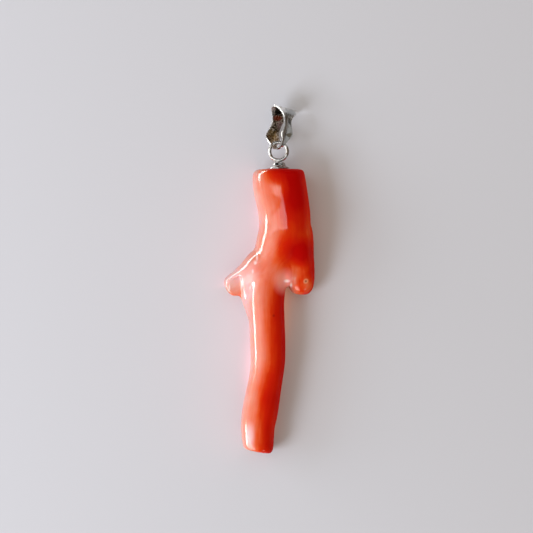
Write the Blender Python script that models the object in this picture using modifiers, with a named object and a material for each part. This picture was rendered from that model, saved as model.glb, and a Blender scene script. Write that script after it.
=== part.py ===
"""A polished red coral branch mounted as a pendant, lying on its back.

The branch is one grown piece, split at its main fork into the trunk, the long lower stem, a short twig on the
left and a stub on the right. A silver cap with a peg closes its cut top, a wire ring stands on the cap, and a
folded silver bail hangs on the ring and swings about its wire.

Frame: +Y runs up the branch to the bail, +X to the stub, +Z up from the surface that the pendant lies on.
"""

import math

import bmesh
import bpy
from mathutils import Matrix, Vector

MM = 0.001

# The coral, as it grew: points along each branch in millimetres, each (x, y, z, radius) with round
# sections. BRANCH_FLATNESS then presses all of it towards the surface it lies on.
BRANCH_FLATNESS = 0.87
# From TAPER_START up to its cut top the trunk is also pressed thinner, by this share in all.
TAPER_START = 7.0
TAPER_SHARE = 0.13
MAIN_STEM = [
    (1.68, 19.85, 4.74, 3.98),
    (1.70, 19.40, 4.74, 4.50),
    (1.76, 18.80, 4.76, 4.78),
    (1.87, 18.00, 4.80, 4.84),
    (2.17, 15.80, 4.84, 4.86),
    (2.67, 13.10, 4.78, 4.70),
    (2.94, 10.80, 4.74, 4.66),
    (2.82, 8.50, 4.70, 4.62),
    (2.02, 6.20, 4.44, 4.32),
    (1.14, 3.80, 4.16, 3.92),
    (0.38, 1.30, 3.98, 3.56),
    (-0.14, -1.20, 3.94, 3.44),
    (-0.37, -3.90, 3.94, 3.37),
    (-0.25, -7.40, 3.90, 3.29),
    (-0.09, -11.90, 3.84, 3.27),
    (-0.10, -15.50, 3.72, 3.14),
    (-0.50, -18.60, 3.52, 3.11),
    (-1.07, -21.60, 3.40, 3.21),
    (-1.58, -24.30, 3.34, 3.28),
    (-1.96, -26.80, 3.14, 3.12),
    (-1.93, -29.10, 2.96, 2.96),
    (-1.88, -30.70, 2.88, 2.84),
    (-1.94, -31.15, 2.88, 2.68),
    (-1.99, -31.42, 2.88, 2.42),
]
RIGHT_STUB = [
    (2.90, 10.30, 4.40, 3.60),
    (3.62, 8.50, 4.40, 4.12),
    (4.26, 6.80, 4.32, 4.02),
    (5.10, 4.20, 3.90, 3.26),
    (5.76, 1.70, 3.20, 2.70),
    (5.95, -0.45, 2.60, 2.48),
    (5.86, -1.95, 2.36, 2.24),
    (5.78, -3.00, 2.26, 1.50),
]
LEFT_TWIG = [
    (0.40, 3.40, 4.30, 3.10),
    (-1.60, 2.25, 4.10, 3.00),
    (-3.30, 0.96, 3.68, 2.50),
    (-4.80, -0.18, 3.14, 2.20),
    (-6.10, -1.14, 2.76, 2.08),
    (-6.80, -1.60, 2.60, 1.96),
    (-7.22, -1.88, 2.52, 1.62),
    (-7.52, -2.06, 2.48, 0.95),
]
# The flesh that fills the angles between the stem and its two side shoots.
STUB_WEB = [
    (3.00, 9.50, 4.40, 3.60),
    (3.30, 6.50, 4.30, 3.70),
    (3.40, 4.00, 4.10, 3.30),
    (3.34, 2.00, 3.80, 2.90),
    (3.28, 0.20, 3.50, 2.46),
    (3.26, -1.10, 3.20, 2.00),
]
TWIG_WEB = [
    (-2.60, 0.60, 3.70, 2.60),
    (-3.00, -1.60, 3.30, 2.40),
    (-2.75, -3.60, 3.20, 2.16),
    (-2.10, -5.60, 3.30, 2.08),
    (-1.60, -7.80, 3.40, 1.90),
]
# The forks are blended by remeshing the joined branches in cells of this size and relaxing them.
CELL = 0.74
RELAXING_PASSES = 3
# The facet ground across the end of the twig: its outline seen from above, with its height at one place and
# its slopes.
FACET_OUTLINE = [
    (-4.92, 0.62),
    (-4.66, -1.60),
    (-4.40, -4.50),
    (-9.50, -4.50),
    (-9.50, -1.90),
    (-7.00, -0.48),
]
FACET_PLACE = (-5.8, -1.2, 3.50)
FACET_SLOPES = (-0.06, 0.26)
FACET_TOP = 9.0
# The straight cut across the trunk's top, and where the branches part: a point on each cut, and the
# direction out of the trunk beyond it.
TOP_CUT = ((0.0, 19.65, 4.0), (0.0, 1.0, 0.0))
FORK_CUT = ((0.0, 1.7, 4.0), (0.0, -1.0, 0.0))
STUB_CUT = ((3.00, 0.0, 4.0), (0.96, 0.20, 0.0))
TWIG_CUT = ((-4.1, 0.2, 3.0), (-1.0, -0.08, 0.0))
FORK_GAP = 0.12
BLOCK_SIDE = 90.0
TWIG_BLOCK_SIDE = 7.0

# The silver cap: a flange on the coral's cut top, a neck under the ring, and a peg glued into a drilled hole.
CAP_X = 1.80
CAP_Z = 4.06
CAP_FOOT_Y = 19.70
CAP_HEIGHT = 1.22
FLANGE_RADIUS = 2.0
FLANGE_EDGE = 0.28
NECK_RADIUS = 1.10
PEG_RADIUS = 0.60
PEG_LENGTH = 5.0
HOLE_CLEARANCE = 0.12
CAP_STEPS = 32

# The wire ring, standing on the cap's neck.
RING_RADIUS = 1.60
WIRE_RADIUS = 0.33
RING_SEAT_GAP = 0.05
RING_STEPS = 36
WIRE_STEPS = 12

# The two leaves of the bail, each from its point under the ring's wire to the fold, with the wire as the
# origin: how far along the bail, how far out from the plane of its middle, half the strip's width, how far
# its middle lies to the right, and how deep its vein is pressed in.
BAIL_FRONT_LEAF = [
    (-1.15, 0.40, 0.26, 0.0, 0.0),
    (-0.88, 1.14, 0.34, 0.0, 0.0),
    (-0.15, 1.74, 0.62, 0.0, 0.16),
    (0.50, 2.06, 1.02, 0.0, 0.38),
    (1.15, 2.22, 1.22, 0.0, 0.46),
    (1.90, 2.28, 1.06, -0.04, 0.36),
    (2.80, 2.24, 0.82, -0.14, 0.16),
    (3.70, 2.16, 0.84, -0.20, 0.06),
    (4.55, 2.08, 1.12, -0.10, 0.02),
    (5.34, 1.98, 1.75, 0.0, 0.0),
    (6.08, 1.64, 2.50, 0.0, 0.0),
    (6.42, 1.08, 2.80, 0.0, 0.0),
]
BAIL_BACK_LEAF = [
    (-1.15, 0.32, 0.26, 0.0, 0.0),
    (-0.80, 1.02, 0.42, 0.08, 0.0),
    (0.05, 1.62, 0.85, 0.23, 0.04),
    (0.90, 2.12, 1.40, 0.36, 0.16),
    (1.75, 2.46, 1.64, 0.40, 0.20),
    (2.62, 2.40, 1.38, 0.36, 0.12),
    (3.52, 2.10, 1.16, 0.40, 0.04),
    (4.34, 1.66, 1.20, 0.36, 0.0),
    (5.02, 1.16, 1.50, 0.20, 0.0),
    (5.68, 0.62, 2.02, 0.06, 0.0),
    (6.24, 0.10, 2.56, 0.0, 0.0),
    (6.47, -0.50, 2.80, 0.0, 0.0),
]
# The strip is folded a little askew: how much further along its right side runs, for its width.
BAIL_ASKEW = 0.16
BAIL_THICKNESS = 0.34
VEIN_SHARPNESS = 1.3
BAIL_STEPS_PER_SPAN = 2
BAIL_STEPS_ACROSS = 4
# How the bail lies at rest: turned on the wire, leaning to the right, drooping until its fold meets the
# surface.
BAIL_TURN_DEG = 40.0
BAIL_LEAN_DEG = 7.0
BAIL_DROOP_DEG = 19.5

CORAL_RED = (0.72, 0.07, 0.03)
CORAL_SALMON = (0.80, 0.14, 0.07)
SILVER = (0.90, 0.89, 0.86)


def material(name, colour, roughness, metallic):
    made = bpy.data.materials.new(name)
    made.use_nodes = True
    shader = made.node_tree.nodes["Principled BSDF"]
    shader.inputs["Base Color"].default_value = (*colour, 1)
    shader.inputs["Roughness"].default_value = roughness
    shader.inputs["Metallic"].default_value = metallic
    return made


def collection(name):
    made = bpy.data.collections.new(name)
    bpy.context.scene.collection.children.link(made)
    return made


def placed(name, mesh, home):
    made = bpy.data.objects.new(name, mesh)
    home.objects.link(made)
    return made


def dressed(obj, finish):
    obj.data.materials.clear()
    obj.data.materials.append(finish)
    return obj


def baked(obj):
    """Turns an object, with its modifiers, into a plain welded mesh, and removes the object."""
    bpy.context.view_layer.update()
    graph = bpy.context.evaluated_depsgraph_get()
    mesh = bpy.data.meshes.new_from_object(obj.evaluated_get(graph))
    mesh.transform(obj.matrix_world)
    bpy.data.objects.remove(obj)
    welded = bmesh.new()
    welded.from_mesh(mesh)
    bmesh.ops.remove_doubles(welded, verts=welded.verts, dist=0.00001)
    bmesh.ops.recalc_face_normals(welded, faces=welded.faces)
    welded.to_mesh(mesh)
    welded.free()
    return mesh


def branch(name, points, home):
    """A round branch of changing thickness through the points, as a closed mesh with cut ends."""
    curve = bpy.data.curves.new(name, "CURVE")
    curve.dimensions = "3D"
    curve.resolution_u = 3
    curve.bevel_depth = MM
    curve.bevel_resolution = 5
    curve.use_fill_caps = True
    spline = curve.splines.new("BEZIER")
    spline.bezier_points.add(len(points) - 1)
    spline.radius_interpolation = "CARDINAL"
    for knot, (x, y, z, radius) in zip(spline.bezier_points, points):
        knot.co = Vector((x, y, z)) * MM
        knot.radius = radius
        knot.handle_left_type = knot.handle_right_type = "AUTO"
    tube = placed(name, curve, home)
    tube.scale.z = BRANCH_FLATNESS
    return placed(name, baked(tube), home)


def boolean(obj, operation, other):
    cut = obj.modifiers.new(other.name, "BOOLEAN")
    cut.operation = operation
    cut.object = other
    return cut


def taper(mesh):
    """Presses the trunk thinner towards its cut top."""
    top = TOP_CUT[0][1]
    for vertex in mesh.vertices:
        beyond = (vertex.co.y / MM - TAPER_START) / (top - TAPER_START)
        vertex.co.z *= 1 - TAPER_SHARE * max(0.0, beyond)


def faceted(mesh, home):
    """The branch with the facet ground across its twig, cut by a prism over the facet's outline."""
    slope_x, slope_y = FACET_SLOPES
    place_x, place_y, place_z = FACET_PLACE
    count = len(FACET_OUTLINE)
    low = [(x, y, place_z + (x - place_x) * slope_x + (y - place_y) * slope_y) for x, y in FACET_OUTLINE]
    high = [(x, y, FACET_TOP) for x, y in FACET_OUTLINE]
    ends = [tuple(range(count)), tuple(range(2 * count - 1, count - 1, -1))]
    sides = [(i, (i + 1) % count, (i + 1) % count + count, i + count) for i in range(count)]
    prism = bpy.data.meshes.new("facet_prism")
    prism.from_pydata([Vector(corner) * MM for corner in low + high], [], ends + sides)
    tool = placed("facet_tool", baked(placed("facet_prism", prism, home)), home)
    whole = placed("whole_branch", mesh, home)
    boolean(whole, "DIFFERENCE", tool)
    ground = baked(whole)
    bpy.data.objects.remove(tool)
    return ground


def whole_coral(home):
    """The branch as it grew, with the forks blended, as one mesh."""
    main_stem = branch("main_stem", MAIN_STEM, home)
    forms = {"right_shoot": RIGHT_STUB, "left_shoot": LEFT_TWIG, "right_web": STUB_WEB, "left_web": TWIG_WEB}
    shoots = [branch(name, points, home) for name, points in forms.items()]
    for shoot in shoots:
        boolean(main_stem, "UNION", shoot)
    joined = placed("joined_branches", baked(main_stem), home)
    for shoot in shoots:
        bpy.data.objects.remove(shoot)
    cells = joined.modifiers.new("cells", "REMESH")
    cells.mode = "VOXEL"
    cells.voxel_size = CELL * MM
    relaxed = joined.modifiers.new("relaxed", "SMOOTH")
    relaxed.factor = 0.5
    relaxed.iterations = RELAXING_PASSES
    mesh = baked(joined)
    taper(mesh)
    return faceted(mesh, home)


def as_cutter(block, name, home):
    block.name = name
    for old in list(block.users_collection):
        old.objects.unlink(block)
    home.objects.link(block)
    block.hide_render = True
    block.display_type = "WIRE"
    return block


def block_beyond(name, cut, side, setback, home):
    """A block on the far side of a cut, drawn back across it by setback."""
    point, outward = cut
    outward = Vector(outward).normalized()
    bpy.ops.mesh.primitive_cube_add(size=side * MM)
    block = as_cutter(bpy.context.object, name, home)
    block.rotation_euler = outward.to_track_quat("X", "Z").to_euler()
    block.location = (Vector(point) + outward * (side / 2 - setback)) * MM
    return block


def peg_hole_cutter(home):
    depth = PEG_LENGTH + 2 * HOLE_CLEARANCE
    bpy.ops.mesh.primitive_cylinder_add(
        vertices=CAP_STEPS, radius=(PEG_RADIUS + HOLE_CLEARANCE) * MM, depth=2 * depth * MM
    )
    cutter = as_cutter(bpy.context.object, "peg_hole", home)
    cutter.rotation_euler.x = math.pi / 2
    cutter.location = Vector((CAP_X, CAP_FOOT_Y, CAP_Z)) * MM
    return cutter


def coral_pieces(home, cutters, finishes):
    """The branch parted at its forks, with the trunk's top drilled for the peg."""
    grown = whole_coral(home)
    fork = block_beyond("below_fork", FORK_CUT, BLOCK_SIDE, 0.0, cutters)
    fork_gap = block_beyond("below_fork_gap", FORK_CUT, BLOCK_SIDE, FORK_GAP, cutters)
    stub = block_beyond("beside_stem", STUB_CUT, BLOCK_SIDE, 0.0, cutters)
    stub_gap = block_beyond("beside_stem_gap", STUB_CUT, BLOCK_SIDE, FORK_GAP, cutters)
    twig = block_beyond("beyond_twig_root", TWIG_CUT, TWIG_BLOCK_SIDE, 0.0, cutters)
    twig_gap_side = TWIG_BLOCK_SIDE + 2 * FORK_GAP
    twig_gap = block_beyond("beyond_twig_root_gap", TWIG_CUT, twig_gap_side, FORK_GAP, cutters)
    top = block_beyond("above_top", TOP_CUT, BLOCK_SIDE, 0.0, cutters)
    peg_hole = peg_hole_cutter(cutters)
    cuts = {
        "trunk": (
            ("DIFFERENCE", fork_gap),
            ("DIFFERENCE", twig_gap),
            ("DIFFERENCE", top),
            ("DIFFERENCE", peg_hole),
        ),
        "lower_stem": (("INTERSECT", fork), ("DIFFERENCE", stub_gap), ("DIFFERENCE", twig_gap)),
        "right_stub": (("INTERSECT", fork), ("INTERSECT", stub)),
        "left_twig": (("INTERSECT", twig),),
    }
    pieces = []
    for name, steps in cuts.items():
        piece = dressed(placed(name, grown.copy(), home), finishes[name])
        for operation, block in steps:
            boolean(piece, operation, block)
        pieces.append(piece)
    return pieces


def cap(home, finish):
    """The turned cap: its profile runs from the neck's top, down the outside, to the end of the peg."""
    profile = [
        (0.0, CAP_HEIGHT),
        (NECK_RADIUS * 0.80, CAP_HEIGHT),
        (NECK_RADIUS, CAP_HEIGHT - 0.15),
        (NECK_RADIUS * 1.08, CAP_HEIGHT - 0.45),
        (FLANGE_RADIUS * 0.72, FLANGE_EDGE + 0.16),
        (FLANGE_RADIUS - 0.08, FLANGE_EDGE),
        (FLANGE_RADIUS, FLANGE_EDGE - 0.08),
        (FLANGE_RADIUS, 0.06),
        (FLANGE_RADIUS - 0.06, 0.0),
        (PEG_RADIUS, 0.0),
        (PEG_RADIUS, 0.10 - PEG_LENGTH),
        (PEG_RADIUS - 0.10, -PEG_LENGTH),
        (0.0, -PEG_LENGTH),
    ]
    mesh = bpy.data.meshes.new("cap")
    corners = [(radius * MM, 0.0, height * MM) for radius, height in profile]
    mesh.from_pydata(corners, [(i, i + 1) for i in range(len(corners) - 1)], [])
    turned = placed("cap", mesh, home)
    screw = turned.modifiers.new("turned", "SCREW")
    screw.axis = "Z"
    screw.steps = CAP_STEPS
    screw.render_steps = CAP_STEPS
    screw.use_merge_vertices = True
    screw.merge_threshold = 0.000005
    turned.rotation_euler.x = -math.pi / 2
    turned.location = Vector((CAP_X, CAP_FOOT_Y, CAP_Z)) * MM
    return dressed(turned, finish)


def ring_centre():
    return Vector((CAP_X, CAP_FOOT_Y + CAP_HEIGHT + RING_SEAT_GAP + WIRE_RADIUS + RING_RADIUS, CAP_Z))


def ring(home, finish):
    bpy.ops.mesh.primitive_torus_add(
        major_radius=RING_RADIUS * MM,
        minor_radius=WIRE_RADIUS * MM,
        major_segments=RING_STEPS,
        minor_segments=WIRE_STEPS,
    )
    hoop = bpy.context.object
    hoop.name = "ring"
    for old in list(hoop.users_collection):
        old.objects.unlink(hoop)
    home.objects.link(hoop)
    hoop.location = ring_centre() * MM
    return dressed(hoop, finish)


def smooth_loop(points, steps):
    """Points on a closed Catmull-Rom curve through the given ones, steps to each span."""
    count = len(points)
    for i in range(count):
        before, start, end, after = (Vector(points[(i + k) % count]) for k in (-1, 0, 1, 2))
        for step in range(steps):
            t = step / steps
            yield (
                start * 2
                + (end - before) * t
                + (before * 2 - start * 5 + end * 4 - after) * t ** 2
                + (start * 3 - before - end * 3 + after) * t ** 3
            ) * 0.5


def bail(home, finish):
    """The folded strip: a loft across its changing width, thickened, turning on the ring's wire."""
    back_leaf = [
        (along, -out, half, middle, -vein) for along, out, half, middle, vein in reversed(BAIL_BACK_LEAF)
    ]
    rows = list(smooth_loop(BAIL_FRONT_LEAF + back_leaf, BAIL_STEPS_PER_SPAN))
    corners = []
    for along, out, half, middle, vein in rows:
        for column in range(BAIL_STEPS_ACROSS + 1):
            share = 2 * column / BAIL_STEPS_ACROSS - 1
            across = middle + half * share
            pressed = vein * (1 - abs(share)) ** VEIN_SHARPNESS
            corners.append(Vector((across, along + BAIL_ASKEW * across, out - pressed)) * MM)
    width = BAIL_STEPS_ACROSS + 1
    faces = []
    for row in range(len(rows)):
        here, there = row * width, (row + 1) % len(rows) * width
        for column in range(BAIL_STEPS_ACROSS):
            faces.append((here + column, here + column + 1, there + column + 1, there + column))
    mesh = bpy.data.meshes.new("bail")
    mesh.from_pydata(corners, [], faces)
    strip = placed("bail", mesh, home)
    sheet = strip.modifiers.new("sheet", "SOLIDIFY")
    sheet.thickness = BAIL_THICKNESS * MM
    sheet.offset = 0.0
    turn = Matrix.Rotation(math.radians(BAIL_TURN_DEG), 4, "Y")
    droop = Matrix.Rotation(math.radians(-BAIL_DROOP_DEG), 4, "X")
    lean = Matrix.Rotation(math.radians(-BAIL_LEAN_DEG), 4, "Z")
    mesh.transform(droop @ lean @ turn)
    strip.location = (ring_centre() + Vector((0.0, RING_RADIUS, 0.0))) * MM
    return dressed(strip, finish)


def stand_on_origin(root, pieces):
    """Moves the whole pendant so that the middle of its underside is the origin."""
    bpy.context.view_layer.update()
    graph = bpy.context.evaluated_depsgraph_get()
    corners = []
    for piece in pieces:
        solid = piece.evaluated_get(graph)
        corners += [solid.matrix_world @ vertex.co for vertex in solid.data.vertices]
    low, high = ([pick(c[axis] for c in corners) for axis in range(3)] for pick in (min, max))
    root.location = (-(low[0] + high[0]) / 2, -(low[1] + high[1]) / 2, -low[2])


def main():
    for old in list(bpy.data.objects):
        bpy.data.objects.remove(old)
    pendant = collection("coral_pendant")
    cutters = collection("cutters")
    finishes = {
        "trunk": material("trunk coral", CORAL_RED, 0.12, 0.0),
        "lower_stem": material("stem coral", CORAL_RED, 0.12, 0.0),
        "right_stub": material("stub coral", CORAL_SALMON, 0.12, 0.0),
        "left_twig": material("twig coral", CORAL_SALMON, 0.12, 0.0),
    }
    pieces = coral_pieces(pendant, cutters, finishes)
    pieces.append(cap(pendant, material("cap silver", SILVER, 0.25, 1.0)))
    pieces.append(ring(pendant, material("ring silver", SILVER, 0.15, 1.0)))
    pieces.append(bail(pendant, material("bail silver", SILVER, 0.20, 1.0)))
    root = placed("pendant_frame", None, pendant)
    for child in pieces + list(cutters.objects):
        child.parent = root
    stand_on_origin(root, pieces)
    for piece in pieces:
        piece.data.shade_smooth()
        piece.data.set_sharp_from_angle(angle=math.radians(35))


main()
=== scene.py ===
"""The look of the red coral pendant: its polished branch, its silver fittings, the surface and the light."""

import math

import bmesh
import bpy
import numpy as np
from mathutils import Matrix, Vector, noise


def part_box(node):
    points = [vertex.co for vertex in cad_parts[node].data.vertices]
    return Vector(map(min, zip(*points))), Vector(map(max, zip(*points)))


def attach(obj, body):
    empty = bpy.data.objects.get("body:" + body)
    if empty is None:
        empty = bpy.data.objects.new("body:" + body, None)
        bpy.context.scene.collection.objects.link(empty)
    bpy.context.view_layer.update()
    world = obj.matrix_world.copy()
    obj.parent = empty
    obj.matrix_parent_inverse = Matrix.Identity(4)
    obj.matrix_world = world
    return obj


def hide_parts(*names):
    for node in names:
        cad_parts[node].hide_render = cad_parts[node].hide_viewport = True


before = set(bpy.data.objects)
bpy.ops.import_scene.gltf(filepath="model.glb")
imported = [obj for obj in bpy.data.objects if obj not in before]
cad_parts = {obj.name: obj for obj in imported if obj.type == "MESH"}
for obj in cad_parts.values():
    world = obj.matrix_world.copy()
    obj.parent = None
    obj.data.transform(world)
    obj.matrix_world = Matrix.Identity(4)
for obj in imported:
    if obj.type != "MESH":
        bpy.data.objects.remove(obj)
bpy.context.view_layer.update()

MM = 0.001
# Points of a mesh that lie nearer to each other than this are welded, in metres.
WELD_DISTANCE = 0.00001

# The branch as it grew, in the drawing's millimetres: (x, y, z, radius) along each shoot, with round
# sections. BRANCH_FLATNESS then presses all of it towards the surface it lies on.
BRANCH_FLATNESS = 0.87
# From TAPER_START up to its cut top the trunk is also pressed thinner, by this share in all.
TAPER_START = 7.0
TAPER_SHARE = 0.13
MAIN_STEM = [
    (1.68, 19.85, 4.74, 3.98),
    (1.70, 19.40, 4.74, 4.50),
    (1.76, 18.80, 4.76, 4.78),
    (1.87, 18.00, 4.80, 4.84),
    (2.17, 15.80, 4.84, 4.86),
    (2.67, 13.10, 4.78, 4.70),
    (2.94, 10.80, 4.74, 4.66),
    (2.82, 8.50, 4.70, 4.62),
    (2.02, 6.20, 4.44, 4.32),
    (1.14, 3.80, 4.16, 3.92),
    (0.38, 1.30, 3.98, 3.56),
    (-0.14, -1.20, 3.94, 3.44),
    (-0.37, -3.90, 3.94, 3.37),
    (-0.25, -7.40, 3.90, 3.29),
    (-0.09, -11.90, 3.84, 3.27),
    (-0.10, -15.50, 3.72, 3.14),
    (-0.50, -18.60, 3.52, 3.11),
    (-1.07, -21.60, 3.40, 3.21),
    (-1.58, -24.30, 3.34, 3.28),
    (-1.96, -26.80, 3.14, 3.12),
    (-1.93, -29.10, 2.96, 2.96),
    (-1.88, -30.70, 2.88, 2.84),
    (-1.94, -31.15, 2.88, 2.68),
    (-1.99, -31.42, 2.88, 2.42),
]
RIGHT_STUB = [
    (2.90, 10.30, 4.40, 3.60),
    (3.62, 8.50, 4.40, 4.12),
    (4.26, 6.80, 4.32, 4.02),
    (5.10, 4.20, 3.90, 3.26),
    (5.76, 1.70, 3.20, 2.70),
    (5.95, -0.45, 2.60, 2.48),
    (5.86, -1.95, 2.36, 2.24),
    (5.78, -3.00, 2.26, 1.50),
]
LEFT_TWIG = [
    (0.40, 3.40, 4.30, 3.10),
    (-1.60, 2.25, 4.10, 3.00),
    (-3.30, 0.96, 3.68, 2.50),
    (-4.80, -0.18, 3.14, 2.20),
    (-6.10, -1.14, 2.76, 2.08),
    (-6.80, -1.60, 2.60, 1.96),
    (-7.22, -1.88, 2.52, 1.62),
    (-7.52, -2.06, 2.48, 0.95),
]
# The flesh that fills the angles between the stem and its two side shoots.
STUB_WEB = [
    (3.00, 9.50, 4.40, 3.60),
    (3.30, 6.50, 4.30, 3.70),
    (3.40, 4.00, 4.10, 3.30),
    (3.34, 2.00, 3.80, 2.90),
    (3.28, 0.20, 3.50, 2.46),
    (3.26, -1.10, 3.20, 2.00),
]
TWIG_WEB = [
    (-2.60, 0.60, 3.40, 2.60),
    (-3.00, -1.60, 2.80, 2.40),
    (-2.75, -3.60, 2.50, 2.16),
    (-2.10, -5.60, 2.50, 2.08),
    (-1.60, -7.80, 2.60, 1.90),
]
# How finely each shoot is divided between two stations, and around a quarter of its section.
SHOOT_STEPS = 6
SHOOT_ROUND_STEPS = 10
# The branch is closed up in fine cells and relaxed twice: much before it is cut, which blends the forks,
# and a little afterwards, which rounds the cut edges.
CELL = 0.20
FORKS_RELAXED = 1.50
EDGES_RELAXED = 0.36
RELAX_FACTOR = 0.5
# The flat top, and the block that cuts it.
TOP_CUT_Y = 19.65
TOP_BLOCK_Z = 4.0
TOP_BLOCK_SIDE = 30.0
# The scoop cut out of the twig: its outline seen from above, and its floor's height at one place and slopes.
SCOOP_OUTLINE = [
    (-4.92, 0.62),
    (-4.66, -1.60),
    (-4.40, -4.50),
    (-9.50, -4.50),
    (-9.50, -1.90),
    (-7.00, -0.48),
]
SCOOP_PLACE = (-5.8, -1.2, 3.50)
SCOOP_SLOPES = (-0.06, 0.26)
SCOOP_TOP = 9.0
# The slow swells of the polished surface: how high they are, and how long across and along the branch.
SWELL_HEIGHT = 0.12
SWELL_ACROSS = 5.0
SWELL_ALONG = 9.0
# Each shoot is followed by this many points when a place on the skin is matched to it.
POINTS_PER_STATION = 8
# The skin is matched this many points at a time, which saves memory.
SKIN_BATCH = 4000
# How sharply the grain passes from one shoot to the next at a fork.
FORK_SHARPNESS = 7.0

# Silver fittings, the same sizes as the solids.
CAP_X = 1.80
CAP_Z = 4.06
CAP_FOOT_Y = 19.70
CAP_HEIGHT = 1.22
RING_RADIUS = 1.60
WIRE_RADIUS = 0.33
RING_SEAT_GAP = 0.05
RING_CENTRE = (CAP_X, CAP_FOOT_Y + CAP_HEIGHT + RING_SEAT_GAP + WIRE_RADIUS + RING_RADIUS, CAP_Z)
CAP_STEPS = 96
CAP_WELD_DISTANCE = 0.000005
CAP_SHARP_DEG = 40
RING_STEPS = 96
WIRE_STEPS = 24
# The cap's outline from its top down: distance from its middle and height above its foot.
CAP_PROFILE = [
    (0.0, 1.32),
    (0.56, 1.31),
    (0.96, 1.24),
    (1.16, 1.10),
    (1.24, 0.94),
    (1.28, 0.78),
    (1.36, 0.62),
    (1.52, 0.47),
    (1.74, 0.37),
    (1.93, 0.29),
    (2.03, 0.21),
    (2.06, 0.12),
    (2.04, 0.04),
    (1.97, 0.0),
    (0.60, 0.0),
    (0.60, -0.30),
    (0.0, -0.30),
]
SOLDER_SIZE = (0.46, 0.30, 0.44)
SOLDER_STEPS = 32
SOLDER_RINGS = 20
# The two leaves of the bail, each from its point under the ring's wire to the fold, with the wire as the
# origin: how far along the bail, how far out from the plane of its middle, half the strip's width, how far
# its middle lies to the right, and how deep its vein is pressed in.
BAIL_FRONT_LEAF = [
    (-1.15, 0.40, 0.26, 0.0, 0.0),
    (-0.88, 1.14, 0.34, 0.0, 0.0),
    (-0.15, 1.74, 0.62, 0.0, 0.16),
    (0.50, 2.06, 1.02, 0.0, 0.38),
    (1.15, 2.22, 1.22, 0.0, 0.46),
    (1.90, 2.28, 1.06, -0.04, 0.36),
    (2.80, 2.24, 0.82, -0.14, 0.16),
    (3.70, 2.16, 0.84, -0.20, 0.06),
    (4.55, 2.08, 1.12, -0.10, 0.02),
    (5.34, 1.98, 1.75, 0.0, 0.0),
    (6.08, 1.64, 2.50, 0.0, 0.0),
    (6.42, 1.08, 2.80, 0.0, 0.0),
]
BAIL_BACK_LEAF = [
    (-1.15, 0.32, 0.26, 0.0, 0.0),
    (-0.80, 1.02, 0.42, 0.08, 0.0),
    (0.05, 1.62, 0.85, 0.23, 0.04),
    (0.90, 2.12, 1.40, 0.36, 0.16),
    (1.75, 2.46, 1.64, 0.40, 0.20),
    (2.62, 2.40, 1.38, 0.36, 0.12),
    (3.52, 2.10, 1.16, 0.40, 0.04),
    (4.34, 1.66, 1.20, 0.36, 0.0),
    (5.02, 1.16, 1.50, 0.20, 0.0),
    (5.68, 0.62, 2.02, 0.06, 0.0),
    (6.24, 0.10, 2.56, 0.0, 0.0),
    (6.47, -0.50, 2.80, 0.0, 0.0),
]
# How much further along the bail its right edge lies than its middle, for each millimetre across.
BAIL_ASKEW = 0.16
BAIL_THICKNESS = 0.34
BAIL_EDGE_ROUNDING = 0.14
BAIL_EDGE_STEPS = 4
BAIL_EDGE_DEG = 50
VEIN_SHARPNESS = 1.3
# The painted reflection of the shaded surface, laid as a brown band down the left of the front leaf: where
# its middle lies on the strip, as a share of half its width, how much that share grows for each millimetre
# along, and where it ends and fades.
BROWN_REFLECTION_START = -0.64
BROWN_REFLECTION_LEAN = 0.04
BROWN_REFLECTION_END = 5.2
BROWN_REFLECTION_FADE = 0.8
BROWN_REFLECTION_HALF_WIDTH = 0.50
BROWN_REFLECTION_SHARE = 0.95
BROWN_REFLECTION_COLOUR = (0.075, 0.045, 0.014, 1.0)
# The strip's edges are worn bright, from one share of its half width to another.
WORN_FROM = 0.80
WORN_TO = 0.97
WORN_COLOUR = (0.95, 0.94, 0.92, 1.0)
BAIL_STEPS_PER_SPAN = 6
BAIL_STEPS_ACROSS = 12
# How the bail is turned about its length, leans to the right and droops to the surface.
BAIL_TURN_DEG = 40
BAIL_LEAN_DEG = 7
BAIL_DROOP_DEG = 19.5

# How much the flank alone colours the coral, as painted light and shade: salmon on the lit left, deep red on
# the shaded right.
FLANK_PAINTED_SHADE = 0.75
# The weight of the polished coat, which is less on the right flank, and where on the flank it changes.
COAT_WEIGHT = 0.85
RIGHT_COAT_WEIGHT = 0.12
COAT_CHANGE = (0.35, 0.85)
# Clouds of deeper and paler colour, and streaks along the grain: how fine and how strong they are. Lengths
# along the grain count for less than those across it, and the finest streaks are only relief.
CLOUD_SCALE = 0.22
CLOUD_SHARE = 0.45
STREAK_SCALE = 1.3
STREAK_SHARE = 0.38
STREAK_STRETCH = (1.0, 1.0, 0.10)
FINE_SCALE = 3.2
FINE_STRETCH = (1.0, 1.0, 0.06)
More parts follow.
